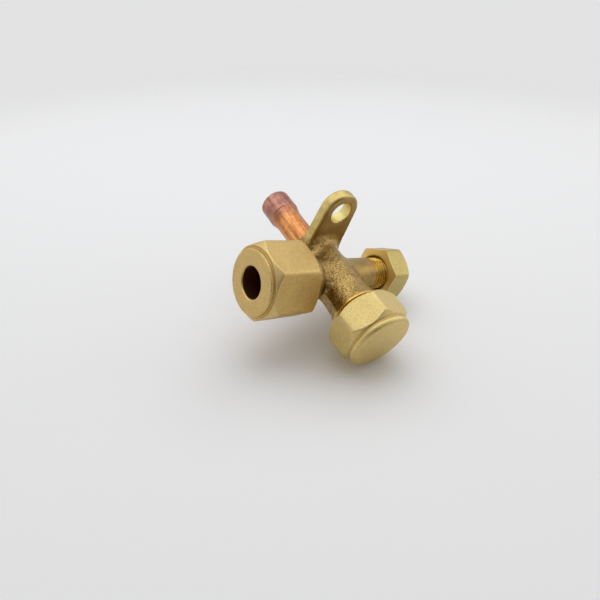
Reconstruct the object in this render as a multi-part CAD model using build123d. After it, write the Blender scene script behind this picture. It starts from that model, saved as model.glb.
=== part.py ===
"""Three-way service valve for a 3/8 inch refrigerant line, as separate parts.

The origin is where the axis of the lug's hole meets the lug's back face, the
face that is screwed to a bracket. +Z is up, and the valve hangs below its lug.
Seen from the crossing of the stem and flare axes:
    -X  flare port and its nut        +X  service port and its cap
    -Y  stem and its cap              +Y  copper pipe stub
Every length is in millimetres. Distances along a branch are measured outwards
from the crossing.
"""
import os
from math import cos, pi, sin

from build123d import *

# ---------------------------------------------------------------- driving dimensions
LUG_RISE = 18.5            # crossing of the axes up to the lug's hole
LUG_BACK = 13.5            # crossing back to the lug's mounting face
LUG_THICK = 4.1
LUG_HOLE_R = 3.7
LUG_END_R = 6.45
LUG_EDGE_R = 1.1           # rounding of the forged edges
LUG_FOOT = 4.6             # crossing up to the middle of the lug's widest part
LUG_FOOT_W = 14.4

RUN = 0.05                 # radial clearance of a screw or a turning fit
SEAT = 0.02                # gap left between faces that meet across a joint

LINE_BODY_R = 7.4          # forging round the stem and pipe axis
LINE_BORE_R = 3.5          # passage towards the pipe
SEAT_AT = 4.6              # stem seat, towards the pipe
STEM_THREAD_R = 5.0        # thread that the stem runs in
GLAND_R = 5.9              # smooth bore that the stem's seals run in
GLAND_AT = 9.3
STEM_TRAVEL = 5.8          # how far the stem backs out, up to its retaining ring
STEM_BOSS_END = 25.0
RETAINER_FROM = STEM_BOSS_END - 1.8      # groove of the retaining ring
RETAINER_TO = STEM_BOSS_END - 0.7
RETAINER_R = GLAND_R + 0.8
SHOULDER_FROM = 14.4       # turned shoulder behind the cap
SHOULDER_TO = 15.6
SHOULDER_R = 8.45
STEM_CAP_THREAD_R = 8.0

FLARE_BORE_R = 3.6
FLARE_THREAD_R = 7.9       # 5/8 inch thread
FLARE_BOSS_R = 8.4
FLARE_NECK_R = 6.4
FLARE_BOSS_AT = 13.3
FLARE_CONE_AT = 21.8       # where the 45 degree flare begins
FLARE_NOSE_R = 4.6
FLARE_NOSE_AT = FLARE_CONE_AT + FLARE_THREAD_R - FLARE_NOSE_R

PORT_BODY_R = 5.65
PORT_ROOT_R = 5.9
BRANCH_BLEND_R = 0.9        # rounding where the branches grow out of each other
PORT_BODY_AT = 16.3
PORT_THREAD_R = 5.5        # 7/16 inch thread
PORT_END = 26.9
PORT_BORE_R = 2.05
CORE_THREAD_R = 2.6
CORE_SEAT_AT = 18.6

NUT_FLATS = 22.0           # flare nut, across its flats
NUT_REAR = 14.2
NUT_FRONT = 31.75
NUT_BORE_R = 4.88          # takes the 3/8 inch tube
NUT_FACE_R = 9.9
NUT_CORNER = 54.5          # degrees: how far round the nut a corner is
BONNET_THICK = 0.8

CAP_FLATS = 21.6           # stem cap
CAP_REAR = 16.9
CAP_FLOOR = STEM_BOSS_END + 1.02
CAP_END = CAP_FLOOR + 3.08
CAP_CROWN_R = 10.5
CAP_CORNER = 46.7          # degrees

SMALL_FLATS = 17.0         # service cap
SMALL_REAR = 20.6
SMALL_FLOOR = PORT_END + 1.2
SMALL_END = SMALL_FLOOR + 2.1
SMALL_CORNER = 22.9        # degrees

TUBE_R = 4.76              # 3/8 inch copper tube
TUBE_WALL = 0.8
SOCKET_R = 5.5             # swaged end that takes the next tube
SOCKET_BORE_R = 4.8
SOCKET_DEPTH = 7.6
TUBE_FROM = 10.1
SWAGE_FROM = 28.2
SWAGE_TO = SWAGE_FROM + 3.2
TUBE_END = SWAGE_TO + SOCKET_DEPTH
PIPE_BOSS_R = 6.8
PIPE_BOSS_END = 16.5

# ---------------------------------------------------------------- the four branches
CROSSING = Vector(0, -LUG_BACK, -LUG_RISE)
UP = Vector(0, 0, 1)
FLARE, PORT = Vector(-1, 0, 0), Vector(1, 0, 0)
STEM, PIPE = Vector(0, -1, 0), Vector(0, 1, 0)


def turned(points, towards, rounds=()):
    """Solid turned about a branch's axis from (distance, radius) corners.

    rounds lists the corners to round, as ((distance, radius), rounding).
    """
    outline = make_face(Polyline(*points, close=True))
    for corner, rounding in rounds:
        nearest = outline.vertices().sort_by_distance((*corner, 0))[0]
        outline = fillet(nearest, rounding)
    side = Plane(origin=CROSSING, x_dir=towards, z_dir=towards.cross(UP))
    return revolve(side * outline, Axis(CROSSING, towards), 360)


def hexagon(flats, start, end, towards, corner, taper=0):
    """Hexagonal bar along a branch; corner turns one of its corners, in degrees."""
    level = UP.cross(towards)
    base = Plane(origin=CROSSING + towards * start, x_dir=level, z_dir=towards)
    outline = RegularPolygon(flats / 2, 6, major_radius=False, rotation=corner)
    return extrude(base * outline, end - start, taper=taper)


def ring(inner, outer, start, end, towards, rounding=0):
    """Flat ring round a branch's axis."""
    corners = [(start, inner), (start, outer), (end, outer), (end, inner)]
    return turned(corners, towards, [(c, rounding) for c in corners] if rounding else ())


def o_ring(middle_r, cord_r, at, towards):
    """Round-section ring round a branch's axis, its section given ten sides."""
    steps = [2 * pi * (k + 0.5) / 10 for k in range(10)]
    return turned([(at + cord_r * cos(a), middle_r + cord_r * sin(a)) for a in steps], towards)


# ---------------------------------------------------------------- forged body
stem_and_pipe = turned(
    [(-PIPE_BOSS_END, 0), (-PIPE_BOSS_END, PIPE_BOSS_R - 0.2), (-LUG_BACK, PIPE_BOSS_R),
     (-LUG_BACK, LINE_BODY_R), (9.5, LINE_BODY_R), (SHOULDER_FROM, LINE_BODY_R + 0.75),
     (SHOULDER_FROM, SHOULDER_R), (SHOULDER_TO, SHOULDER_R), (SHOULDER_TO, STEM_CAP_THREAD_R - 0.7),
     (SHOULDER_TO + 1.1, STEM_CAP_THREAD_R - 0.7), (SHOULDER_TO + 1.8, STEM_CAP_THREAD_R),
     (STEM_BOSS_END - 0.8, STEM_CAP_THREAD_R), (STEM_BOSS_END, STEM_CAP_THREAD_R - 0.8), (STEM_BOSS_END, 0)], STEM, [((9.5, LINE_BODY_R), 10)])
flare_branch = turned(
    [(0, 0), (0, FLARE_NECK_R), (8.5, FLARE_NECK_R + 0.3), (FLARE_BOSS_AT - 2.0, FLARE_BOSS_R),
     (FLARE_BOSS_AT - 0.5, FLARE_BOSS_R), (FLARE_BOSS_AT, FLARE_BOSS_R - 0.5),
     (FLARE_BOSS_AT, FLARE_THREAD_R - 0.9), (FLARE_BOSS_AT + 1.3, FLARE_THREAD_R - 0.9),
     (FLARE_BOSS_AT + 2.2, FLARE_THREAD_R), (FLARE_CONE_AT, FLARE_THREAD_R),
     (FLARE_NOSE_AT, FLARE_NOSE_R), (FLARE_NOSE_AT, 0)], FLARE,
    [((8.5, FLARE_NECK_R + 0.3), 2.5), ((FLARE_BOSS_AT - 2.0, FLARE_BOSS_R), 1.0)])
port_branch = turned(
    [(0, 0), (0, PORT_ROOT_R), (PORT_BODY_AT, PORT_BODY_R), (PORT_BODY_AT, PORT_THREAD_R - 0.45),
     (PORT_BODY_AT + 1.0, PORT_THREAD_R - 0.45), (PORT_BODY_AT + 1.45, PORT_THREAD_R),
     (PORT_END - 0.7, PORT_THREAD_R), (PORT_END, PORT_THREAD_R - 0.7), (PORT_END, 0)],
    PORT, [((PORT_BODY_AT, PORT_BODY_R), 0.25)])

# lug: the hull of its round end and a wider foot that leans to the service side
lug_plane = Plane(origin=(0, 0, 0), x_dir=(1, 0, 0), z_dir=(0, -1, 0))
lug_end = Circle(LUG_END_R)
lug_foot = Pos(0.8, LUG_FOOT - LUG_RISE) * Rectangle(LUG_FOOT_W, 4.0)
lug = extrude(lug_plane * make_hull(lug_end.edges() + lug_foot.edges()), LUG_THICK)
rims = lug.faces().filter_by(Axis.Y).edges().filter_by(lambda e: e.center().Z > -LUG_RISE + 4)
lug = fillet(rims, LUG_EDGE_R)

forging = stem_and_pipe
for branch in (flare_branch, port_branch):
    joined = forging + branch
    forging = fillet(new_edges(forging, branch, combined=joined), BRANCH_BLEND_R)
forging = forging + lug
hole = lug_plane.offset(-1) * Cylinder(LUG_HOLE_R, LUG_THICK + 2, align=(Align.CENTER, Align.CENTER, Align.MIN))
stem_bore = turned(
    [(-PIPE_BOSS_END - 1, 0), (-PIPE_BOSS_END - 1, TUBE_R + RUN), (-TUBE_FROM + 0.1, TUBE_R + RUN),
     (-TUBE_FROM + 0.1, LINE_BORE_R), (-SEAT_AT, LINE_BORE_R), (-SEAT_AT, STEM_THREAD_R),
     (GLAND_AT, STEM_THREAD_R), (GLAND_AT, GLAND_R), (RETAINER_FROM, GLAND_R),
     (RETAINER_FROM, RETAINER_R), (RETAINER_TO, RETAINER_R), (RETAINER_TO, GLAND_R),
     (STEM_BOSS_END + 0.1, GLAND_R + 0.7), (STEM_BOSS_END + 0.1, 0)], STEM)
flare_bore = turned([(0, 0), (0, FLARE_BORE_R), (FLARE_NOSE_AT + 0.5, FLARE_BORE_R), (FLARE_NOSE_AT + 0.5, 0)], FLARE)
port_bore = turned(
    [(0, 0), (0, PORT_BORE_R), (CORE_SEAT_AT, PORT_BORE_R), (CORE_SEAT_AT + 1.3, CORE_THREAD_R),
     (PORT_END - 0.5, CORE_THREAD_R), (PORT_END + 0.1, CORE_THREAD_R + 0.6), (PORT_END + 0.1, 0)], PORT)
valve_body = forging - hole - stem_bore - flare_bore - port_bore

# ---------------------------------------------------------------- copper pipe stub and its braze
pipe_stub = turned(
    [(TUBE_FROM, TUBE_R - TUBE_WALL), (TUBE_FROM, TUBE_R), (SWAGE_FROM, TUBE_R), (SWAGE_TO, SOCKET_R),
     (TUBE_END, SOCKET_R), (TUBE_END, SOCKET_BORE_R), (SWAGE_TO, SOCKET_BORE_R),
     (SWAGE_TO - 0.4, TUBE_R - TUBE_WALL + 0.3), (SWAGE_FROM, TUBE_R - TUBE_WALL)], PIPE,
    [((SWAGE_FROM, TUBE_R), 3), ((SWAGE_TO, SOCKET_R), 2.5), ((TUBE_END, SOCKET_R), 0.2)])
braze_top = PIPE_BOSS_END + 1.7
braze_ring = turned(
    [(PIPE_BOSS_END, TUBE_R), (braze_top, TUBE_R), (PIPE_BOSS_END + 0.7, TUBE_R + 0.35),
     (PIPE_BOSS_END + 0.25, TUBE_R + 0.8), (PIPE_BOSS_END, TUBE_R + 1.5)], PIPE)

# ---------------------------------------------------------------- flare nut and its bonnet
bonnet_out = BONNET_THICK * 2 ** 0.5            # thickness measured along the axis on a 45 degree cone
cone_sum = FLARE_CONE_AT + FLARE_THREAD_R       # distance plus radius, the same all along the male flare
inner_sum = cone_sum + SEAT * 2
outer_sum = inner_sum + bonnet_out
seat_sum = outer_sum + SEAT * 2
nose = FLARE_NOSE_AT
skirt_r = 7.0
flare_bonnet = turned(
    [(inner_sum - skirt_r, skirt_r), (nose + SEAT, inner_sum - nose - SEAT), (nose + SEAT, 0),
     (nose + SEAT + BONNET_THICK, 0), (nose + SEAT + BONNET_THICK, outer_sum - nose - SEAT - BONNET_THICK),
     (outer_sum - skirt_r, skirt_r)], FLARE)
nut_thread_r = FLARE_THREAD_R + RUN
nut_corner_r = NUT_FLATS / 3 ** 0.5
nut_envelope = turned(
    [(NUT_REAR, 0), (NUT_REAR, NUT_FLATS / 2 - 0.2), (NUT_REAR + 1.7, nut_corner_r + 0.1), (NUT_FRONT - 3.3, nut_corner_r + 0.1),
     (NUT_FRONT - 0.6, NUT_FACE_R + 0.35), (NUT_FRONT - 0.6, NUT_FACE_R), (NUT_FRONT, NUT_FACE_R),
     (NUT_FRONT, 0)], FLARE, [((NUT_FRONT, NUT_FACE_R), 0.25)])
nut_inside = turned(
    [(NUT_REAR - 1, 0), (NUT_REAR - 1, nut_thread_r + 1.45), (NUT_REAR + 0.4, nut_thread_r), (seat_sum - nut_thread_r, nut_thread_r),
     (seat_sum - NUT_BORE_R, NUT_BORE_R), (NUT_FRONT - 0.3, NUT_BORE_R), (NUT_FRONT + 0.1, NUT_BORE_R + 0.4),
     (NUT_FRONT + 0.1, 0)], FLARE)
flare_nut = (hexagon(NUT_FLATS, NUT_REAR, NUT_FRONT, FLARE, NUT_CORNER) & nut_envelope) - nut_inside

# ---------------------------------------------------------------- stem, its seals and its cap
tip_sum = LINE_BORE_R + SEAT_AT - SEAT * 2      # radius minus distance, the same all along the tip's cone
groove_r, groove_w, groove_at = GLAND_R - 1.5, 1.9, (GLAND_AT + 2.1, GLAND_AT + 5.5)
stem_end = RETAINER_FROM - STEM_TRAVEL - 0.2
neck_r = STEM_THREAD_R - 0.8
stem_profile = [(2.2 - tip_sum, 0), (2.2 - tip_sum, 2.2), (neck_r - tip_sum, neck_r), (0.4, neck_r),
                (1.1, STEM_THREAD_R - RUN), (GLAND_AT - 0.7, STEM_THREAD_R - RUN),
                (GLAND_AT - 0.7, neck_r), (GLAND_AT + 0.3, neck_r),
                (GLAND_AT + 0.3, GLAND_R - RUN)]
for at in groove_at:
    stem_profile += [(at - groove_w / 2, GLAND_R - RUN), (at - groove_w / 2, groove_r),
                     (at + groove_w / 2, groove_r), (at + groove_w / 2, GLAND_R - RUN)]
stem_profile += [(stem_end - 0.4, GLAND_R - RUN), (stem_end, GLAND_R - RUN - 0.4), (stem_end, 0)]
valve_stem = turned(stem_profile, STEM) - hexagon(5.0, stem_end - 6.0, stem_end + 1, STEM, 20)
cord_r = (GLAND_R - groove_r) / 2 - SEAT
stem_seal_inner = o_ring((GLAND_R + groove_r) / 2, cord_r, groove_at[0], STEM)
stem_seal_outer = o_ring((GLAND_R + groove_r) / 2, cord_r, groove_at[1], STEM)
split = Plane(origin=CROSSING + STEM * RETAINER_TO, x_dir=(1, 0, 0), z_dir=(0, -1, 0)) * Pos(0, -GLAND_R) * Box(3.4, 4, 3)
stem_retaining_ring = ring(GLAND_R - 0.8, RETAINER_R - SEAT * 2, RETAINER_FROM + SEAT, RETAINER_TO - SEAT, STEM) - split
stem_cap_gasket = ring(STEM_CAP_THREAD_R - 1.3, STEM_CAP_THREAD_R - 0.2, STEM_BOSS_END, CAP_FLOOR - SEAT, STEM)

cap_corner_r = CAP_FLATS / 3 ** 0.5 - 0.12     # the cutter just touches the corners
valley_r = CAP_CROWN_R - 0.6
flanks_to = CAP_END - 2.1
cap_envelope = turned(
    [(CAP_REAR, 0), (CAP_REAR, CAP_FLATS / 2 - 0.1), (CAP_REAR + 1.5, cap_corner_r),
     (flanks_to - 2.0, cap_corner_r - 0.35), (flanks_to - 0.9, valley_r + 0.7), (flanks_to - 0.4, valley_r),
     (flanks_to, valley_r), (flanks_to, 0)], STEM)
crown = turned(
    [(CAP_FLOOR - 0.5, 0), (CAP_FLOOR - 0.5, valley_r - 0.1), (flanks_to - 0.15, valley_r - 0.1), (flanks_to + 0.5, CAP_CROWN_R),
     (CAP_END - 1.1, CAP_CROWN_R), (CAP_END, CAP_CROWN_R - 1.5), (CAP_END + 0.15, CAP_CROWN_R / 2), (CAP_END + 0.2, 0)],
    STEM, [((CAP_END - 1.1, CAP_CROWN_R), 0.8), ((CAP_END, CAP_CROWN_R - 1.5), 0.8)])
cap_inside = turned(
    [(CAP_REAR - 1, 0), (CAP_REAR - 1, STEM_CAP_THREAD_R + 2.1), (CAP_REAR + 1.0, STEM_CAP_THREAD_R + RUN),
     (CAP_FLOOR - 1.4, STEM_CAP_THREAD_R + RUN), (CAP_FLOOR, STEM_CAP_THREAD_R - 0.1), (CAP_FLOOR, 0)], STEM)
stem_cap = (hexagon(CAP_FLATS, CAP_REAR, flanks_to, STEM, CAP_CORNER, taper=1.5) & cap_envelope) + crown - cap_inside

# ---------------------------------------------------------------- service cap
service_cap_gasket = ring(PORT_THREAD_R - 1.9, PORT_THREAD_R - 0.1, PORT_END, SMALL_FLOOR - SEAT, PORT)
small_corner_r = SMALL_FLATS / 3 ** 0.5
shoulder, rim = (SMALL_END - 0.7, SMALL_FLATS / 2 - 0.2), (SMALL_END, SMALL_FLATS / 2 - 1.9)
small_envelope = turned(
    [(SMALL_REAR, 0), (SMALL_REAR, small_corner_r + 0.1), (SMALL_END - 1.7, small_corner_r + 0.1), shoulder,
     rim, (SMALL_END + 0.1, 0)], PORT, [(shoulder, 1.0), (rim, 1.2)])
mouth_r = PORT_THREAD_R + 0.7
small_inside = turned(
    [(SMALL_REAR - 0.1, 0), (SMALL_REAR - 0.1, mouth_r + 0.3), (SMALL_REAR + 0.3, mouth_r),
     (SMALL_REAR + 1.4, mouth_r),
     (SMALL_REAR + 2.0, PORT_THREAD_R + RUN), (SMALL_FLOOR, PORT_THREAD_R + RUN), (SMALL_FLOOR, 0)], PORT)
service_cap = (hexagon(SMALL_FLATS, SMALL_REAR, SMALL_END + 0.1, PORT, SMALL_CORNER) & small_envelope) - small_inside

# ---------------------------------------------------------------- access-valve core in the service port
barrel_r, barrel_bore_r, barrel_from, barrel_to = 1.9, 1.45, CORE_SEAT_AT - 3.0, CORE_SEAT_AT + 4.0
head_to = PORT_END - 1.1
pin_r, collar_at, pin_tip = 0.4, barrel_to - 1.4, PORT_END - 0.5
core_head = turned(
    [(barrel_to, barrel_bore_r), (barrel_to, CORE_THREAD_R - RUN), (head_to, CORE_THREAD_R - RUN),
     (head_to, pin_r + 0.15), (head_to - 1.4, pin_r + 0.15), (head_to - 1.8, barrel_bore_r)], PORT)
for way in (-1, 1):
    slot = Box(1.7, 2.4, 6, align=(Align.MIN, Align.CENTER, Align.CENTER))
    core_head -= Pos(*(CROSSING + PORT * (head_to - 1.6))) * Pos(0, way * (CORE_THREAD_R - 0.5), 0) * slot
lip_bore_r, spring_from = 0.8, barrel_from + 0.8
core_barrel = turned(
    [(barrel_from, lip_bore_r), (barrel_from, barrel_r), (barrel_to, barrel_r), (barrel_to, barrel_bore_r),
     (spring_from, barrel_bore_r), (spring_from, lip_bore_r)], PORT)
slope = (CORE_THREAD_R - PORT_BORE_R) / 1.3
core_barrel_seal = turned(
    [(CORE_SEAT_AT + 0.1, barrel_r), (CORE_SEAT_AT + 0.1, PORT_BORE_R + 0.1 * slope - SEAT),
     (CORE_SEAT_AT + 1.3, CORE_THREAD_R - SEAT), (CORE_SEAT_AT + 1.9, CORE_THREAD_R - SEAT),
     (CORE_SEAT_AT + 1.9, barrel_r)], PORT)
cup_from, cup_to = barrel_from - 1.7, barrel_from - 0.4
seal_from = cup_to - 0.5
core_pin = turned(
    [(cup_from - 0.3, 0), (cup_from - 0.3, pin_r), (collar_at, pin_r), (collar_at, 1.3), (collar_at + 0.5, 1.3),
     (collar_at + 0.5, pin_r), (pin_tip, pin_r), (pin_tip, 0)], PORT)
core_pin_cup = turned(
    [(cup_from, pin_r), (cup_from, 1.2), (cup_from + 0.45, 1.6), (cup_to, 1.6), (cup_to, 1.4),
     (seal_from, 1.4), (seal_from, pin_r)], PORT)
core_cup_seal = ring(pin_r, 1.4, seal_from, barrel_from - SEAT, PORT)
wire_r, coil_r, turns = 0.16, 1.08, 5
spring_run = collar_at - spring_from - 2 * (wire_r + SEAT)
coil = Helix(spring_run / turns, spring_run, coil_r)
wire = Plane(origin=coil @ 0, z_dir=coil % 0) * RegularPolygon(wire_r, 6)
core_spring = sweep(wire, coil, is_frenet=True)
core_spring = Plane(origin=CROSSING + PORT * (spring_from + wire_r + SEAT), x_dir=UP, z_dir=PORT) * core_spring

# ---------------------------------------------------------------- written nodes
NODES = {
    "valve_body": valve_body,
    "pipe_stub": pipe_stub,
    "braze_ring": braze_ring,
    "flare_nut": flare_nut,
    "flare_bonnet": flare_bonnet,
    "stem_cap": stem_cap,
    "stem_cap_gasket": stem_cap_gasket,
    "valve_stem": valve_stem,
    "stem_seal_inner": stem_seal_inner,
    "stem_seal_outer": stem_seal_outer,
    "stem_retaining_ring": stem_retaining_ring,
    "service_cap": service_cap,
    "service_cap_gasket": service_cap_gasket,
    "core_head": core_head,
    "core_barrel": core_barrel,
    "core_barrel_seal": core_barrel_seal,
    "core_pin": core_pin,
    "core_pin_cup": core_pin_cup,
    "core_cup_seal": core_cup_seal,
    "core_spring": core_spring,
}

os.makedirs("parts", exist_ok=True)
for name, solid in NODES.items():
    export_step(solid, f"parts/{name}.step")
    box = solid.bounding_box()
    print(f"{name:22s} {len(solid.solids())} solid, {solid.volume:9.2f} mm3, {box.min} to {box.max}")
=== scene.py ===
"""Three-way refrigerant service valve: forged body, hexagons, copper stub and studio.

Pieces that the frame already shapes well keep their solids and get a finish. The
forging, the hexagons, the threads, the tube and the braze are surfaces worked out
here from the same sizes. Sizes below are millimetres, measured outwards from the
crossing of the stem and flare axes, and become metres when a mesh is made.
"""
import math

import bpy
import numpy as np
from mathutils import Matrix


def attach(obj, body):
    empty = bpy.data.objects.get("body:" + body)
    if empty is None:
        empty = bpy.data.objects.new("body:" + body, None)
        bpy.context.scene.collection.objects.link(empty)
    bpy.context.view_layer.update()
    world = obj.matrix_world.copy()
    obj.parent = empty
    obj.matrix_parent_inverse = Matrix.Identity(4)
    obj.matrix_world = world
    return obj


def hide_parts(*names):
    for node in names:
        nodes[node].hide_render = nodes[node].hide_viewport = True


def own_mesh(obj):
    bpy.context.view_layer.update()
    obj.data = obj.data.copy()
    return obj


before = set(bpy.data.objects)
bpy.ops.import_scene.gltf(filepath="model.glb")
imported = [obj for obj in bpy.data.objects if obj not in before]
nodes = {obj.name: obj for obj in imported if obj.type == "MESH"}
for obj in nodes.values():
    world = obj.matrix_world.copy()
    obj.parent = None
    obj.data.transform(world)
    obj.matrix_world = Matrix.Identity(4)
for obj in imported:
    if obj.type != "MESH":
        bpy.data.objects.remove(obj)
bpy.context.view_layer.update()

MM = 0.001
TAU = 2 * math.pi
CROSSING = np.array([0.0, -13.5, -18.5])
UP = np.array([0.0, 0.0, 1.0])
FLARE, PORT = np.array([-1.0, 0, 0]), np.array([1.0, 0, 0])
STEM, PIPE = np.array([0, -1.0, 0]), np.array([0, 1.0, 0])


# ------------------------------------------------------------------ shapes
def least(a, b, soft):
    """The smaller of two fields, blended over a width soft where they meet:
    b + (a - b) s - soft s (1 - s), where s is 1/2 + (b - a) / (2 soft), clipped."""
    share = np.clip(0.5 + 0.5 * (b - a) / soft, 0, 1)
    return b + (a - b) * share - soft * share * (1 - share)


def most(a, b, soft):
    """The larger of two fields, blended over a width soft: less the least of both negated."""
    return -least(-a, -b, soft)


def waves(place, size, seed):
    """Smooth random field from about -1 to 1: a sum of sines with wavelengths of 0.6 to
    1.7 times size, each along its own random direction with its own phase, over 1.5
    times the root of their number."""
    count, spread = 14, 1.5
    rng = np.random.default_rng(seed)
    total = np.zeros(place.shape[:-1])
    for _ in range(count):
        way = rng.normal(size=3)
        way *= TAU / (size * rng.uniform(0.6, 1.7)) / np.linalg.norm(way)
        total = total + np.sin(place @ way + rng.uniform(0, TAU))
    return total / math.sqrt(count) / spread


def outline(corners, step, soften=2):
    """Corners (distance, radius) resampled at an even step along the line, then averaged
    with their neighbours by 1/4, 1/2, 1/4 soften times, which rounds each corner."""
    corners = np.asarray(corners, float)
    run = np.concatenate([[0], np.cumsum(np.linalg.norm(np.diff(corners, axis=0), axis=1))])
    at = np.linspace(0, run[-1], max(int(run[-1] / step), 8))
    line = np.stack([np.interp(at, run, corners[:, k]) for k in (0, 1)], 1)
    for _ in range(soften):
        line[1:-1] = 0.25 * line[:-2] + 0.5 * line[1:-1] + 0.25 * line[2:]
    return line


def hexagon(angle, flats, corner):
    """Radius of a hexagon with worn corners: half the distance across its flats over the
    34-norm of the six cosines between a direction and the flats."""
    sharp = 34
    near = [np.clip(np.cos(angle - corner - (k + 0.5) * TAU / 6), 0, 1) ** sharp for k in range(6)]
    return flats / 2 / np.sum(near, axis=0) ** (1 / sharp)


def helix(distance, angle, pitch):
    """Depth, 0 at the crest to 1 at the root, of a V thread: the triangle wave of the
    distance over the pitch less the share of a turn, with flats at crest and root."""
    flat = 0.16
    turn = distance / pitch - angle / TAU
    wave = np.abs(2 * (turn - np.floor(turn + 0.5)))
    return np.clip((wave - flat) / (1 - 2 * flat), 0, 1)


def spokes(count):
    """Row of count even angles round a turn."""
    return np.linspace(0, TAU, count, endpoint=False)[None, :]


def around(distance, radius, angle, towards):
    """Points at a distance along a branch and a radius and angle about it, of any shapes
    that go together. Angle runs by the right hand about the outward direction, from level."""
    distance, radius, angle = np.broadcast_arrays(distance, radius, angle)
    level = np.cross(UP, towards)
    spoke = np.cos(angle)[..., None] * level + np.sin(angle)[..., None] * UP
    return CROSSING + distance[..., None] * towards + radius[..., None] * spoke


def skin(name, grid, body, finish, poles=False, replaces=(), marks=None):
    """Mesh over a grid of points whose columns close round. Rows close into a loop, or
    with poles the first and last row each close on a point at their mean. marks holds
    named values on the points."""
    rows, cols = grid.shape[:2]
    points = grid.reshape(-1, 3)
    index = np.arange(rows * cols).reshape(rows, cols)
    near, far = (index[:-1], index[1:]) if poles else (index, np.roll(index, -1, 0))
    quads = np.stack([near, np.roll(near, -1, 1), np.roll(far, -1, 1), far], -1).reshape(-1, 4)
    fans = np.empty((0, 3), int)
    values = {key: value.ravel() for key, value in (marks or {}).items()}
    if poles:
        first, last = index[0], index[-1]
        tip = np.full(cols, len(points))
        fans = np.vstack([np.stack([tip, np.roll(first, -1), first], -1),
                          np.stack([tip + 1, last, np.roll(last, -1)], -1)])
        points = np.vstack([points, grid[0].mean(0), grid[-1].mean(0)])
        values = {key: np.append(value, [value[first].mean(), value[last].mean()])
                  for key, value in values.items()}
    return to_mesh(name, points, np.concatenate([quads.ravel(), fans.ravel()]),
                   np.repeat([4, 3], [len(quads), len(fans)]),
                   body, finish, replaces, values)


def to_mesh(name, points, loops, sizes, body, finish, replaces=(), marks=None):
    """Mesh from points in millimetres and a flat list of the corners of faces of 3 or 4.
    The faces are turned round where the volume, a sixth of the sum of a . (b x c + c x d),
    is negative, so that they face outwards. The piece rides a body."""
    points = points * MM
    starts = np.cumsum(sizes) - sizes
    a, b, c, d = (points[loops[starts + k]] for k in (0, 1, 2, sizes - 1))
    if np.sum(a * (np.cross(b, c) + np.cross(c, d))) < 0:
        loops = loops[(2 * starts + sizes - 1).repeat(sizes) - np.arange(len(loops))]
    mesh = bpy.data.meshes.new(name)
    mesh.vertices.add(len(points))
    mesh.vertices.foreach_set("co", points.astype(np.float32).ravel())
    mesh.loops.add(len(loops))
    mesh.loops.foreach_set("vertex_index", loops.astype(np.int32))
    mesh.polygons.add(len(starts))
    mesh.polygons.foreach_set("loop_start", starts.astype(np.int32))
    mesh.polygons.foreach_set("use_smooth", np.ones(len(starts), bool))
    mesh.update(calc_edges=True)
    for key, value in (marks or {}).items():
        held = mesh.attributes.new(key, "FLOAT", "POINT")
        held.data.foreach_set("value", value.astype(np.float32))
    mesh.validate()
    piece = bpy.data.objects.new(name, mesh)
    bpy.context.scene.collection.objects.link(piece)
    mesh.materials.append(finish)
    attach(piece, body)
    if replaces:
        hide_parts(*replaces)
    return piece


# ------------------------------------------------------------------ finishes
class Amount:
    """A number that varies over a surface. Sums on it become Math nodes."""

    def __init__(self, owner, socket):
        self.owner, self.socket = owner, socket

    def _sum(self, operation, a, b):
        made = self.owner.node("ShaderNodeMath", {"operation": operation}, {0: a, 1: b})
        return Amount(self.owner, made.outputs[0])

    def __add__(self, other):
        return self._sum("ADD", self, other)

    __radd__ = __add__

    def __sub__(self, other):
        return self._sum("SUBTRACT", self, other)

    def __rsub__(self, other):
        return self._sum("SUBTRACT", other, self)

    def __mul__(self, other):
        return self._sum("MULTIPLY", self, other)

    def clipped(self, low, high):
        """0 at low, 1 at high, a smooth climb 3t^2 - 2t^3 between, and level outside."""
        made = self.owner.node("ShaderNodeMapRange", {"interpolation_type": "SMOOTHSTEP"},
                               {"Value": self, "From Min": low, "From Max": high})
        return Amount(self.owner, made.outputs[0])


class Nodes:
    """A node tree, of a material or of the world, to which nodes are added."""

    def __init__(self, tree):
        self.tree = tree

    def node(self, kind, settings=None, values=None):
        """Any node: its settings are set first, then the values or links of its sockets."""
        made = self.tree.nodes.new(kind)
        for key, value in (settings or {}).items():
            setattr(made, key, value)
        for key, value in (values or {}).items():
            if isinstance(value, Amount):
                value = value.socket
            if isinstance(value, bpy.types.NodeSocket):
                self.tree.links.new(value, made.inputs[key])
            else:
                made.inputs[key].default_value = value
        return made

    def either(self, share, a, b):
        """Shader a, going over to shader b as share goes from 0 to 1."""
        return self.node("ShaderNodeMixShader", None, {0: share, 1: a, 2: b}).outputs[0]


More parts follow.
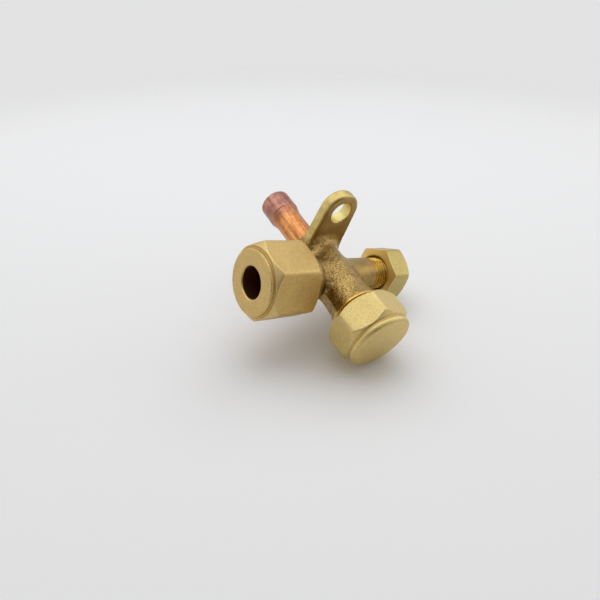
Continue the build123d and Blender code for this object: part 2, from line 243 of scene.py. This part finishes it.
class Finish(Nodes):
    """One material: a Principled surface, its constants, and the nodes that vary it."""

    def __init__(self, name, **constants):
        self.material = bpy.data.materials.new(name)
        self.material.use_nodes = True
        super().__init__(self.material.node_tree)
        self.surface = self.tree.nodes["Principled BSDF"]
        for key, value in constants.items():
            self.surface.inputs[key.replace("_", " ")].default_value = value
        self.place = self.node("ShaderNodeTexCoord").outputs["Object"]

    def noise(self, place, scale, detail, rough=0.5):
        """Noise from 0 to 1 at a place times a scale."""
        made = self.node("ShaderNodeTexNoise", None,
                         {"Vector": place, "Scale": scale, "Detail": detail, "Roughness": rough})
        return Amount(self, made.outputs["Fac"])

    def grain(self, size, detail=2.0, rough=0.5):
        """Noise whose blotches are about size millimetres across."""
        return self.noise(self.place, 1000 / size, detail, rough)

    def drawn(self, scale, detail):
        """Noise scaled unevenly along the three axes, for rings and draw marks."""
        place = self.node("ShaderNodeMapping", None, {"Vector": self.place, "Scale": scale})
        return self.noise(place.outputs[0], 1.0, detail)

    def stored(self, name):
        """A value kept on the mesh's points."""
        made = self.node("ShaderNodeAttribute", {"attribute_name": name})
        return Amount(self, made.outputs["Fac"])

    def mix(self, share, a, b):
        """Colour a, going over to colour b as share goes from 0 to 1."""
        a, b = (c if isinstance(c, bpy.types.NodeSocket) else (*c, 1) for c in (a, b))
        made = self.node("ShaderNodeMix", {"data_type": "RGBA"}, {"Factor": share, 6: a, 7: b})
        return made.outputs[2]

    def drive(self, socket, value):
        """Feeds a varying value into the surface."""
        value = value.socket if isinstance(value, Amount) else value
        self.tree.links.new(value, self.surface.inputs[socket])

    def raise_by(self, height, depth):
        """Bump: height 1 stands depth millimetres proud."""
        made = self.node("ShaderNodeBump", None, {"Distance": depth * MM, "Height": height})
        self.tree.links.new(made.outputs[0], self.surface.inputs["Normal"])


def blasted_brass(name, light, dark, rough, grit, pitted):
    """Sand-blasted forged brass. Its tone, 0.66 fine + 0.18 coarse + 0.16 blotch noise,
    goes from dark to light, with brown pits where two noises are both far from their
    middle. The stored worn value is 1 on a rubbed edge, 2 where the cutter has been and
    the brass is yellow, and below 0 where it is painted shade: dull brown put in bores,
    grooves and on the cap's crown where shade falls."""
    rubbed, brown = (0.64, 0.48, 0.21), (0.10, 0.055, 0.02)
    # dull is the brown painted in as shade where the worn value is below 0
    dull, yellow = (0.30, 0.125, 0.07), (0.78, 0.57, 0.19)
    f = Finish(name, Metallic=1.0)
    worn = f.stored("worn")
    fine = f.grain(0.42, rough=0.7)
    coarse = f.grain(0.9)
    blotch = f.grain(4.5)
    pit = f.grain(0.62, 1.0).clipped(0.33, 0.28) * f.grain(3.4, 1.0).clipped(0.54, 0.62) * pitted
    tone = (fine * 0.66 + coarse * 0.18 + blotch * 0.16).clipped(0.40, 0.60)
    turned = worn.clipped(1.2, 1.8)
    colour = f.mix(tone, dark, light)
    colour = f.mix(worn.clipped(0, 1) * 0.7, colour, rubbed)
    colour = f.mix(pit, colour, brown)
    # painted shade: a worn value below 0 turns the colour to dull brown, for the shade in bores,
    # grooves and crowns
    colour = f.mix(worn.clipped(-0.2, -0.8), colour, dull)
    f.drive("Base Color", f.mix(turned, colour, yellow))
    f.drive("Roughness", rough + fine * 0.14 + turned * 0.04)
    f.raise_by((fine * 0.8 + coarse * 0.25 - pit) * (1 - turned * 0.8), 0.11 * grit)
    return f.material


def turned_brass(name, towards):
    """Bright brass off the lathe: noise squeezed along the branch makes rings of fine
    tool marks across it, 0.4 of the tone beside 0.6 of a soft blotch."""
    dark, light = (0.48, 0.27, 0.045), (0.70, 0.44, 0.09)
    along, across = 9000.0, 60.0
    f = Finish(name, Metallic=1.0)
    marks = f.drawn(tuple(along if abs(c) > 0.5 else across for c in towards), 2.0)
    soft = f.grain(2.5)
    f.drive("Base Color", f.mix(soft * 0.6 + marks * 0.4, dark, light))
    f.drive("Roughness", 0.17 + marks * 0.14)
    f.raise_by(marks, 0.006)
    return f.material


def forged_brass(name):
    """Body forging. The coarse skin goes from brown to brass with 0.8 grit + 0.2 blotch;
    where the stored smooth value is 1 it is calm, and rubbed bright where rubbed is. The
    stored worn value is 1 where the cutter has been and the brass is yellow, and 2 in
    the punched hole, where it is pale."""
    coarse_dark, coarse_light = (0.22, 0.130, 0.041), (0.57, 0.39, 0.135)
    calm_dark, calm_light = (0.31, 0.198, 0.066), (0.42, 0.275, 0.092)
    rubbed_dark, rubbed_light = (0.49, 0.36, 0.12), (0.66, 0.51, 0.185)
    yellow, pale = (0.68, 0.43, 0.09), (0.74, 0.61, 0.25)
    f = Finish(name, Metallic=1.0)
    worn, smooth = f.stored("worn"), f.stored("smooth")
    cut = worn.clipped(0, 1)
    grit = f.grain(0.44, 3.0, 0.65)
    fine = f.grain(0.30)
    blotch = f.grain(3.0, 3.0)
    coarse = f.mix((grit * 0.8 + blotch * 0.2).clipped(0.38, 0.62), coarse_dark, coarse_light)
    calm_tone = (blotch * 0.6 + fine * 0.4).clipped(0.36, 0.64)
    calm = f.mix(calm_tone, calm_dark, calm_light)
    bright = f.mix(calm_tone, rubbed_dark, rubbed_light)
    skin_tone = f.mix(f.stored("rubbed"), f.mix(smooth, coarse, calm), bright)
    bare = f.mix(worn.clipped(1.1, 1.9), yellow, pale)
    f.drive("Base Color", f.mix(cut, skin_tone, bare))
    f.drive("Roughness", (0.29 + fine * 0.2) * (1 - cut) + (0.14 + worn * 0.14) * cut)
    f.raise_by((grit * (1 - smooth * 0.8) + fine * 0.4) * (1 - cut * 0.96), 0.11)
    return f.material


def copper(name):
    """Drawn copper: pinkish, with long faint draw marks and finger-dulled patches. Where
    the stored worn value is high the torch has left it orange and bright, and where
    scorch is high, dark red."""
    dull, pink = (0.30, 0.13, 0.10), (0.47, 0.225, 0.155)
    burnt, orange, red = (0.47, 0.165, 0.05), (0.71, 0.33, 0.115), (0.20, 0.055, 0.03)
    f = Finish(name, Metallic=1.0)
    heat, scorch = f.stored("worn"), f.stored("scorch")
    drawn = f.drawn((900.0, 60.0, 900.0), 3.0)
    patch = f.grain(2.4, 3.0)
    cloud = f.grain(1.3)
    cold = f.mix((patch * 0.6 + drawn * 0.4).clipped(0.40, 0.62), dull, pink)
    hot = f.mix((cloud * 0.35 + drawn * 0.65).clipped(0.36, 0.64), burnt, orange)
    f.drive("Base Color", f.mix(scorch * 0.8, f.mix(heat, cold, hot), red))
    f.drive("Roughness", 0.20 + patch * 0.2 - heat * 0.08)
    f.raise_by(drawn * 0.5 + cloud * 0.3, 0.03)
    return f.material


def moulded(name, colour, second, rough, size=0.5, metallic=0.0, height=0.01):
    """Plain small goods such as rubber, seal plastic and steel: two close tones in a fine
    mottle and a faint relief."""
    f = Finish(name, Metallic=metallic)
    mottle = f.grain(size, 3.0)
    f.drive("Base Color", f.mix(mottle, colour, second))
    f.drive("Roughness", rough + mottle * 0.12)
    f.raise_by(mottle, height)
    return f.material


NUT = blasted_brass("blasted brass of the nut", (0.67, 0.475, 0.185), (0.57, 0.39, 0.145),
                    rough=0.38, grit=0.5, pitted=0.3)
CAP = blasted_brass("blasted brass of the stem cap", (0.77, 0.60, 0.245), (0.65, 0.49, 0.19),
                    rough=0.36, grit=1.5, pitted=0.06)
SMALL = blasted_brass("blasted brass of the service cap", (0.56, 0.445, 0.165), (0.47, 0.365, 0.13),
                      rough=0.36, grit=0.35, pitted=0.06)
BODY = forged_brass("forged brass body")
CUT_X = turned_brass("turned brass of flare and port", PORT)
CUT_Y = turned_brass("turned brass of stem end", STEM)
TUBE = copper("drawn copper tube")
# painted shade: the copper bonnet deep in the nut's bore is coloured near black for the shade
# there, not its own copper colour
BONNET = moulded("copper bonnet painted dark as shade", (0.06, 0.022, 0.012), (0.035, 0.012, 0.007),
                 rough=0.45, size=1.2, metallic=1.0)
BRAZE = moulded("braze", (0.55, 0.34, 0.15), (0.66, 0.47, 0.27),
                rough=0.22, size=1.2, metallic=1.0, height=0.03)
RUBBER = moulded("black seal rubber", (0.012, 0.012, 0.013), (0.03, 0.03, 0.03), rough=0.52)
WHITE = moulded("white seal plastic", (0.80, 0.79, 0.75), (0.86, 0.85, 0.82), rough=0.36)
STEEL = moulded("spring steel", (0.42, 0.42, 0.44), (0.56, 0.56, 0.57),
                rough=0.24, size=0.4, metallic=1.0, height=0.008)

for node, finish in {
    "flare_bonnet": BONNET, "stem_cap_gasket": WHITE, "valve_stem": CUT_Y,
    "stem_seal_inner": RUBBER, "stem_seal_outer": RUBBER, "stem_retaining_ring": STEEL,
    "service_cap_gasket": RUBBER, "core_head": CUT_X, "core_barrel": CUT_X,
    "core_barrel_seal": WHITE, "core_pin": STEEL, "core_pin_cup": CUT_X, "core_cup_seal": RUBBER,
}.items():
    mesh = nodes[node].data
    mesh.materials.clear()
    mesh.materials.append(finish)


# ------------------------------------------------------------------ forged body
# Profiles of the body's branches: (distance from the crossing, radius) pairs. The line
# runs from the tube, where its distance is negative, to the stem.
LINE_SKIN = [(-13.7, 6.7), (-13.3, 7.1), (-12.5, 7.3), (9.5, 7.35), (12.5, 7.65), (14.4, 8.15),
             (14.95, 8.3)]
FLARE_SKIN = [(0, 6.3), (8.5, 6.7), (11.0, 8.2), (12.8, 8.35), (13.25, 8.0)]
PORT_SKIN = [(0, 5.9), (16.3, 5.62)]
STEM_END = [(14.6, 8.2), (15.0, 8.42), (15.5, 8.42), (15.62, 7.2), (24.9, 7.2), (25.0, 7.1)]
FLARE_END = [(12, 6.9), (21.5, 6.95), (22.75, 6.9), (25.05, 4.65)]
PORT_END = [(15, 4.98), (26.6, 4.98), (26.9, 4.7)]
LINE_BORE = [(-17.5, 4.84), (-10, 4.84), (-9.98, 3.5), (-4.6, 3.5), (-4.58, 5.0), (9.3, 5.0),
             (9.32, 5.9), (23.2, 5.9), (23.22, 6.72), (24.3, 6.72), (24.32, 6.0), (25.3, 6.5)]
FLARE_BORE = [(0, 3.6), (27, 3.6)]
PORT_BORE = [(0, 2.08), (18.6, 2.08), (19.9, 2.62), (26.4, 2.62), (27.1, 3.2)]

FLARE_BLEND, PORT_BLEND, LUG_BLEND = 1.8, 1.6, 3.4      # widths of the forged fillets
END_STEP, BORE_EDGE = 0.12, 0.22                # and of the edges that the cutter leaves
SEAM_WIDTH, SEAM_HEIGHT = 0.40, 0.22            # ridge where the dies met
RELIEF = (3.2, 5, 0.075), (1.1, 9, 0.04)        # size, seed and height of the cast relief
CALM_FROM, CALM_OVER, CALM = 7, 3, 0.8          # how far out the relief fades, and how much

LUG_RISE = 18.5                 # crossing up to the lug's hole
LUG_HOLE_R = 3.7
LUG_END_R = 6.45
LUG_EDGE_R = 1.1                # rounding of the lug's edges
LUG_MIDDLE, LUG_HALF = 11.45, 2.05      # middle of its thickness, and half of that
LUG_LEFT, LUG_RIGHT, LUG_FOOT = 6.42, 8.0, 2.0
LUG_LEAN = 0.9922, 0.125        # outward direction of the leaning side


def branch(distance, radius, profile, soft=0.1):
    """Field of a turned branch: the most, blended over soft, of how far a point's radius
    is outside the profile's at that distance and how far it is past either end."""
    at, size = np.array(profile, np.float32).T
    side = radius - np.interp(distance, at, size)
    return most(side, np.maximum(at[0] - distance, distance - at[-1]), soft)


def lug_field(x, y, z):
    """Field of the mounting lug: a round end over a foot that leans to the service side,
    carried through the lug's thickness with rounded edges: the length of the positive
    parts of (flat, thick), less the edge's radius. Also how much nearer a point is to the
    rim than to the faces."""
    end = np.hypot(x, z - LUG_RISE) - LUG_END_R
    side = LUG_LEAN[0] * x + LUG_LEAN[1] * (z - LUG_RISE) - LUG_END_R
    foot = np.maximum.reduce([-x - LUG_LEFT, side, x - LUG_RIGHT, z - LUG_RISE, LUG_FOOT - z])
    flat = np.minimum(end, foot) + LUG_EDGE_R
    thick = np.abs(y - LUG_MIDDLE) - LUG_HALF + LUG_EDGE_R
    outside = np.hypot(np.maximum(flat, 0), np.maximum(thick, 0))
    return np.minimum(np.maximum(flat, thick), 0) + outside - LUG_EDGE_R, flat - thick


def body_field(place):
    """Field of the whole body, negative inside: the forged branches and lug blended, the
    seam that the dies leave on the level plane and the cast relief, the turned ends, less
    every bore. Returns the field, and the cutter's work at each point: 1 on a turned end
    or in a bore, 2 in the lug's hole."""
    x, y, z = place[..., 0], place[..., 1], place[..., 2]
    about_y, about_x = np.hypot(x, z), np.hypot(y, z)
    forged = branch(-y, about_y, LINE_SKIN, 0.35)
    forged = least(forged, branch(-x, about_x, FLARE_SKIN, 0.35), FLARE_BLEND)
    forged = least(forged, branch(x, about_x, PORT_SKIN, 0.2), PORT_BLEND)
    forged = least(forged, lug_field(x, y, z)[0], LUG_BLEND)
    seam = np.exp(-(z / SEAM_WIDTH) ** 2) * SEAM_HEIGHT
    calm = np.clip((np.maximum(x, z) - CALM_FROM) / CALM_OVER, 0, 1)
    relief = sum(waves(place, size, seed) * height for size, seed, height in RELIEF)
    forged = forged - seam - relief * (1 - CALM * calm)
    ends = np.minimum.reduce([branch(-y, about_y, STEM_END), branch(-x, about_x, FLARE_END),
                              branch(x, about_x, PORT_END)])
    hole = np.maximum(np.hypot(x, z - LUG_RISE) - LUG_HOLE_R, np.abs(y - 11.5) - 4)
    hollow = np.minimum.reduce([branch(-y, about_y, LINE_BORE), branch(-x, about_x, FLARE_BORE),
                                branch(x, about_x, PORT_BORE), hole])
    whole = most(least(forged, ends, END_STEP), -hollow, BORE_EDGE)
    turned = np.clip((forged - ends) / 0.25 + 0.5, 0, 1)
    bored = np.clip(1 - hollow / 0.15, 0, 1) * np.where(z > 12, 2, 1)
    return whole, np.maximum(turned, bored)


def wrap(field, low, step):
    """Surface of a field sampled on a lattice: one point in each cell that the surface
    crosses, at the mean of the crossings on its edges, joined across each crossed edge."""
    inside = field < 0
    shape = tuple(n - 1 for n in field.shape)
    sums = np.zeros((*shape, 3), np.float32)
    count = np.zeros(shape, np.float32)
    crossings = []
    for axis in range(3):
        a = tuple(slice(0, -1) if k == axis else slice(None) for k in range(3))
        b = tuple(slice(1, None) if k == axis else slice(None) for k in range(3))
        found = np.nonzero(inside[a] != inside[b])
        va, vb = field[a][found], field[b][found]
        at = np.stack(found, 1).astype(np.float32)
        at[:, axis] += va / (va - vb)
        u, v = [n for n in range(3) if n != axis]
        ring = []               # the four cells round the edge, in turn
        for du, dv in ((0, 0), (1, 0), (1, 1), (0, 1)):
            cell = list(found)
            cell[u], cell[v] = cell[u] - du, cell[v] - dv
            np.add.at(count, tuple(cell), 1)
            np.add.at(sums, tuple(cell), at)
            ring.append(cell)
        crossings.append((axis, va < 0, ring))
    used = np.nonzero(count)
    cells = np.full(shape, -1, np.int64)
    cells[used] = np.arange(len(used[0]))
    points = sums[used] / count[used][:, None]
    quads = []
    for axis, starts_inside, ring in crossings:
        quad = np.stack([cells[tuple(cell)] for cell in ring], 1)
        flip = starts_inside if axis == 1 else ~starts_inside
        quad[flip] = quad[flip][:, ::-1]
        quads.append(quad)
    return low + points * step, np.concatenate(quads)


def build_body():
    """The forging and its bores: the body field wrapped on a lattice, and each point moved
    twice by the field times its slope over the slope's square, onto the surface."""
    step, slab, nudge, reach = 0.288, 24, 0.02, 0.12
    low, high = np.array([-26.4, -26.0, -9.6]), np.array([28.0, 17.6, 25.6])
    axes = [np.arange(a, b, step) for a, b in zip(low, high)]
    field = np.empty([len(a) for a in axes], np.float32)
    for start in range(0, len(axes[0]), slab):
        part = np.meshgrid(axes[0][start:start + slab], axes[1], axes[2], indexing="ij")
        field[start:start + slab] = body_field(np.stack(part, -1))[0]
    points, quads = wrap(field, low, step)
    for _ in range(2):
        here = body_field(points)[0]
        slope = np.stack([(body_field(points + way)[0] - here) / nudge
                          for way in np.eye(3) * nudge], -1)
        move = np.clip(here / np.maximum(np.sum(slope ** 2, -1), 0.3), -reach, reach)
        points = points - slope * move[:, None]
    x, y, z = points.T
    cut = body_field(points)[1]
    smooth = np.maximum(np.clip((x - 6.5) / 2, 0, 1), np.clip((z - 7) / 3, 0, 1))
    rim = np.clip(lug_field(x, y, z)[1] / 0.9 + 0.4, 0, 1) * np.clip((z - 5) / 3, 0, 1)
    marks = {"worn": cut, "smooth": smooth, "rubbed": rim * (1 - np.clip(cut, 0, 1))}
    return to_mesh("forged_body", points + CROSSING, quads.ravel(), np.full(len(quads), 4),
                   "body", BODY, ("valve_body",), marks)


build_body()


# ------------------------------------------------------------------ threads
def thread_sleeve(name, towards, crest, depth, pitch, start, end, chamfer, finish):
    """Screw thread as a closed sleeve: the crest radius less depth times the helix, running
    out to nothing over the first turn and cut by a chamfer at the end, with a plain
    inside."""
    rows_a_turn, wall, slope, run_out = 14, 0.35, 0.9, 0.9
    angle = spokes(128)
    along = np.linspace(start, end, int((end - start) / pitch * rows_a_turn))[:, None]
    fade = np.clip((along - start) / pitch, 0, 1) ** 0.5
    radius = crest - depth * helix(along, angle, pitch) - depth * (1 - fade) * run_out
    radius = np.minimum(radius, crest - chamfer + (end - along) * slope)
    inner = np.full_like(angle, crest - depth - wall)
    along = np.vstack([along[:1], along, along[-1:], [[0.5 * (start + end)]]])
    radius = np.vstack([inner, radius, inner, inner])
    return skin(name, around(along, radius, angle, towards), "body", finish)


thread_sleeve("flare_thread", FLARE, 7.9, 0.86, 1.411, 14.3, 22.6, 0.9, CUT_X)
thread_sleeve("stem_cap_thread", STEM, 8.0, 0.85, 1.5, 16.3, 24.95, 0.8, CUT_Y)
thread_sleeve("port_thread", PORT, 5.5, 0.62, 1.27, 17.0, 26.85, 0.7, CUT_X)


# ------------------------------------------------------------------ hexagons
AXIS = 0.02                     # where a line that ends on the axis stops, before its pole


def hexed(name, towards, outside, inside, flats, corner, body, finish, node, turned,
          columns=360, taper=0.0, soft=0.16, crown=99.0, step=0.17, shade=(0, 0), bands=()):
    """A turned piece with six flats: an outside line cut by the worn hexagon wherever the
    line is wider, less taper times the distance, and an inside line with its thread.

    outside runs from the rear mouth to the front, inside back again, and a pair that
    ends on the axis is closed there. corner is the angle of a corner in degrees, crown
    the distance past which the flats stop, turned that to which the rear face is
    machined, shade the stretch of bore that is painted dull brown as shade, and bands
    the stretches outside the flats that have a worn value of their own, where a value
    below 0 is painted shade."""
    open_radius, edge_width = 99.0, 0.34
    corner_from, corner_width = 1.125, 0.03         # shares of half the flats
    angle = spokes(columns)
    along, radius = outline(outside, step).T[..., None]
    flat = hexagon(angle, flats, math.radians(corner))
    hexed_radius = np.where(along > crown, open_radius, flat - taper * (along - outside[0][0]))
    cut = least(radius, hexed_radius, soft)
    place = around(along, cut, angle, towards)
    dents = waves(place, 5.0, len(name)) * 0.03 + waves(place, 1.6, len(name) + 3) * 0.014
    place = around(along, cut + np.where(cut > 3.0, dents, 0), angle, towards)
    along_in, radius_in = outline(inside, step * 1.5).T[..., None]
    place_in = around(along_in, radius_in, angle, towards)

    edge = np.clip(1 - np.abs(radius - hexed_radius) / edge_width, 0, 1)
    corner_edge = np.clip((flat - flats / 2 * corner_from) / (flats / 2 * corner_width), 0, 1)
    worn = np.maximum(edge * 0.8, corner_edge * (radius > hexed_radius))
    for start, end, mark in bands:
        worn = np.where((along > start) & (along < end) & (radius <= hexed_radius), mark, worn)
    worn = np.where(along < turned, 2.0, worn)
    # painted shade: the shade stretch of bore gets worn -1, dull brown standing for its shade; the
    # rest of the inside is machined
    worn_in = np.where((along_in > shade[0]) & (along_in < shade[1]), -1.0, 2.0) + 0 * angle
    return skin(name, np.vstack([place_in, place]), body, finish, outside[-1][1] == AXIS,
                (node,), {"worn": np.vstack([worn_in, worn])})


hexed("hex_flare_nut", FLARE,
      [(14.55, 8.3), (14.2, 9.5), (14.2, 10.75), (15.9, 12.8), (28.45, 12.8), (30.65, 10.68),
       (30.3, 10.2), (30.35, 9.95), (31.6, 9.94), (31.75, 9.76), (31.75, 5.3)],
      [(31.6, 5.0), (31.3, 4.88), (26.03, 4.88), (22.96, 7.95), (15.0, 7.95), (14.7, 8.2)],
      22.0, 54.5, "flare_nut", NUT, "flare_nut", 14.4,
      # painted shade: the bore from 23.0 to 31.2 and the groove round the front disc, 30.5 to
      # 30.75, are painted dull brown for the shade in them
      shade=(23.0, 31.2), bands=((28.6, 30.5, 0.75), (30.5, 30.75, -0.35)))
hexed("hex_stem_cap", STEM,
      [(17.2, 8.8), (16.92, 9.2), (16.9, 10.7), (18.4, 12.35), (25.1, 11.95), (26.2, 10.72),
       (26.75, 10.1), (27.0, 10.12), (27.3, 10.45), (27.55, 10.55), (28.1, 10.45), (28.58, 10.18),
       (28.94, 9.75), (29.13, 9.23), (29.27, 5.5), (29.29, AXIS)],
      [(26.02, AXIS), (26.02, 7.8), (25.6, 7.95), (24.7, 8.05), (17.95, 8.05), (17.3, 8.7)],
      21.6, 46.7, "stem_cap", CAP, "stem_cap", 17.3,
      # painted shade: the valley between the flats and the crown, 26.35 to 27.05, and the crown's
      # roll onto its end face, 28.35 to 29.0, are painted dull brown all round
      columns=348, taper=0.025, crown=26.7, bands=((26.35, 27.05, -0.42), (28.35, 29.0, -0.36)))
hexed("hex_service_cap", PORT,
      [(20.9, 6.15), (20.62, 6.45), (20.62, 6.8), (21.45, 9.9), (28.4, 9.9), (29.35, 8.6),
       (29.95, 7.6), (30.2, 6.3), (30.28, AXIS)],
      [(28.1, AXIS), (28.1, 5.5), (22.6, 5.55), (22.0, 6.15), (21.0, 6.2)],
      17.0, 22.9, "service_cap", SMALL, "service_cap", 21.35,
      columns=288, soft=0.10, step=0.16)

# ------------------------------------------------------------------ copper stub, braze and spring
TUBE_LINE = [(10.1, 3.96), (10.1, 4.76), (27.9, 4.76), (28.9, 4.86), (30.4, 5.16), (31.3, 5.27),
             (31.55, 5.5), (38.8, 5.49), (39.0, 5.3), (39.0, 4.95), (38.8, 4.8), (31.4, 4.8),
             (28.2, 3.96)]
BRAZE_LINE = [(13.65, 4.77), (13.65, 5.95), (13.95, 5.6), (14.3, 5.1), (15.2, 4.92), (15.4, 4.78),
              (14.4, 4.765)]
BRAZE_FROM = 13.72              # the boss's end, which the braze doesn't enter

angle = spokes(160)
along, radius = outline(TUBE_LINE, 0.16).T[..., None]
place = around(along, radius, angle, PIPE)
heat = np.clip((32.5 - along) / 6.0, 0, 1) + 0 * angle
scorch = np.exp(-((along - 30.4) / 1.1) ** 2) * np.clip(0.5 + waves(place, 5.0, 33), 0, 1)
skin("swaged_copper_stub", around(along, radius + waves(place, 6.0, 21) * 0.02, angle, PIPE),
     "body", TUBE, replaces=("pipe_stub",), marks={"worn": heat, "scorch": scorch})

along, radius = outline(BRAZE_LINE, 0.12, 3).T[..., None]
swell = 0.16 * np.sin(3 * angle + 0.7) + 0.1 * np.sin(7 * angle)
radius = radius + np.clip(radius - 4.8, 0, 1) * swell
skin("braze_fillet", around(np.maximum(along, BRAZE_FROM), radius, angle, PIPE),
     "body", BRAZE, replaces=("braze_ring",))

turns, coil_r, wire_r, coil_from, coil_to = 5.5, 1.08, 0.17, 16.6, 21.0
t = np.linspace(0, 1, 180)[:, None]
ring = spokes(12)
lift = coil_from + (coil_to - coil_from) * np.clip(t * 1.24 - 0.12, 0, 1)      # level end turns
coil = around(lift + wire_r * np.sin(ring), coil_r + wire_r * np.cos(ring), t * turns * TAU, PORT)
spring = skin("coiled_core_spring", coil, "body", STEEL, True, ("core_spring",))
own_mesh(spring)

# ------------------------------------------------------------------ floor, light and camera
# The valve rests tilted, so the studio's down is not the frame's.
DOWN = np.array([0.317, -0.265, -0.911])
DOWN /= np.linalg.norm(DOWN)
DROP = 39.4                     # floor below the lug's hole, along DOWN
RIGHT = np.array([0.76663, -0.49386, 0.41035])      # of the camera
AHEAD = np.array([0.63598, 0.49602, -0.59119])
CAMERA_AT = np.array([-110.19, -93.37, 66.54])
FOCAL, SENSOR = 487.63 / 600, 36.0      # focal length as a share of the sensor's width
BACKDROP = (0.765, 0.765, 0.76959, 1)   # the pale backdrop, as seen and as mirrored in metal
ROOM, ROOM_TINT = 0.36, (1.0, 0.97, 0.91, 1)        # the room's own soft light
UNLIT = 0.08                    # the side of the room behind the camera, dark in metal
UNLIT_SIDE = np.array([0.24, -0.94, 0.24])          # right, away, up
UNLIT_ENDS = 0.64, 0.93         # cosines to that side over which it grows dark
FLOOR_ENDS = 0.26, 0.40         # metres from its middle over which the floor fades away


def studio_frame(right, up):
    """Turn whose third column is up and whose first is nearest to right."""
    up = up / np.linalg.norm(up)
    right = right - up * (right @ up)
    right /= np.linalg.norm(right)
    return np.stack([right, np.cross(up, right), up], 1)


def placed(turn, at):
    """4 by 4 matrix of a turn and a place in metres."""
    matrix = np.eye(4)
    matrix[:3, :3], matrix[:3, 3] = turn, at
    return Matrix(matrix.tolist())


def added(name, data):
    """A new object in the scene."""
    made = bpy.data.objects.new(name, data)
    bpy.context.scene.collection.objects.link(made)
    return made


TURN = studio_frame(RIGHT, -DOWN)       # columns: right, away from the camera, up


def floor_sheet():
    """Round flat floor: a polar grid at radius r and angle a, (r cos a, r sin a, 0), and
    one point in its middle."""
    rows, cols = 60, 96
    round_by = spokes(cols)
    reach = np.linspace(0.5, 420, rows)[:, None]
    flat = np.stack([reach * np.cos(round_by), reach * np.sin(round_by), 0 * reach * round_by], -1)
    points = np.vstack([(flat @ TURN.T).reshape(-1, 3), np.zeros(3)]) + DOWN * DROP
    index = np.arange(rows * cols).reshape(rows, cols)
    after = np.roll(index, -1, 1)
    quads = np.stack([index[:-1], index[1:], after[1:], after[:-1]], -1).reshape(-1, 4)
    fan = np.stack([np.full(cols, rows * cols), index[0], after[0]], -1)
    mesh = bpy.data.meshes.new("studio_floor")
    mesh.from_pydata((points * MM).tolist(), [], quads.tolist() + fan.tolist())
    piece = added("studio_floor", mesh)
    return piece


floor = floor_sheet()
f = Finish("pale studio floor", Base_Color=(0.87, 0.865, 0.86, 1), Roughness=0.9,
           Specular_IOR_Level=0.0)
far = f.node("ShaderNodeVectorMath", {"operation": "DISTANCE"},
             {0: f.place, 1: tuple(DOWN * DROP * MM)})
fade = Amount(f, far.outputs["Value"]).clipped(*FLOOR_ENDS)
clear = f.node("ShaderNodeBsdfTransparent").outputs[0]
below = f.node("ShaderNodeNewGeometry").outputs["Backfacing"]       # clear from below
sheet = f.either(below, f.either(fade, f.surface.outputs[0], clear), clear)
f.tree.links.new(sheet, f.tree.nodes["Material Output"].inputs["Surface"])
floor.data.materials.append(f.material)

world = bpy.data.worlds.new("studio")
bpy.context.scene.world = world
world.use_nodes = True
world.node_tree.nodes.clear()
w = Nodes(world.node_tree)
room, seen, unlit = (
    w.node("ShaderNodeBackground", None, {"Color": colour, "Strength": strength}).outputs[0]
    for colour, strength in ((ROOM_TINT, ROOM), (BACKDROP, 1.0), ((1, 1, 1, 1), UNLIT)))
path = w.node("ShaderNodeLightPath").outputs
shown = Amount(w, path["Is Camera Ray"]) + path["Is Glossy Ray"] + path["Is Transmission Ray"]
way = w.node("ShaderNodeTexCoord").outputs["Generated"]
towards = w.node("ShaderNodeVectorMath", {"operation": "DOT_PRODUCT"},
                 {0: way, 1: tuple(TURN @ UNLIT_SIDE)})
mirrored = Amount(w, towards.outputs["Value"]).clipped(*UNLIT_ENDS) * path["Is Glossy Ray"]
surroundings = w.either(mirrored, w.either(shown, room, seen), unlit)
w.node("ShaderNodeOutputWorld", None, {"Surface": surroundings})


def lamp(name, where, aim, size, watts, colour=(1, 1, 1), glossy=True):
    """Rectangular soft lamp at a place in the studio (right, away, up from the crossing,
    in metres), aimed at another. Its sides run right, a hundredth away."""
    light = bpy.data.lights.new(name, "AREA")
    light.shape = "RECTANGLE"
    light.size, light.size_y = size
    light.energy = watts
    light.color = colour
    start, end = (TURN @ np.array(place) + CROSSING * MM for place in (where, aim))
    holder = added(name, light)
    holder.matrix_world = placed(studio_frame(TURN[:, 0] + 0.01 * TURN[:, 1], start - end), start)
    holder.visible_glossy = glossy


lamp("overhead_softbox", (-0.02, 0.16, 0.48), (0, 0, 0), (0.90, 0.60), 1.3, (0.93, 1.0, 1.13))
# lights the floor and the rubber, and isn't mirrored in the metal
lamp("floor_softbox", (-0.02, 0.16, 0.52), (0, 0, 0), (0.90, 0.60), 1.35, glossy=False)
lamp("left_softbox", (-0.50, 0.20, 0.20), (0, 0, 0.02), (0.36, 0.30), 0.18)
lamp("right_softbox", (0.50, 0.10, 0.20), (0, 0, 0.02), (0.30, 0.30), 0.25)

camera = bpy.data.cameras.new("studio_camera")
camera.sensor_width = SENSOR
camera.lens = SENSOR * FOCAL
camera.clip_start = 0.005
back = -AHEAD / np.linalg.norm(AHEAD)
holder = added("studio_camera", camera)
holder.matrix_world = placed(np.stack([RIGHT, np.cross(back, RIGHT), back], 1), CAMERA_AT * MM)
bpy.context.scene.camera = holder
bpy.context.scene.view_settings.view_transform = "Standard"
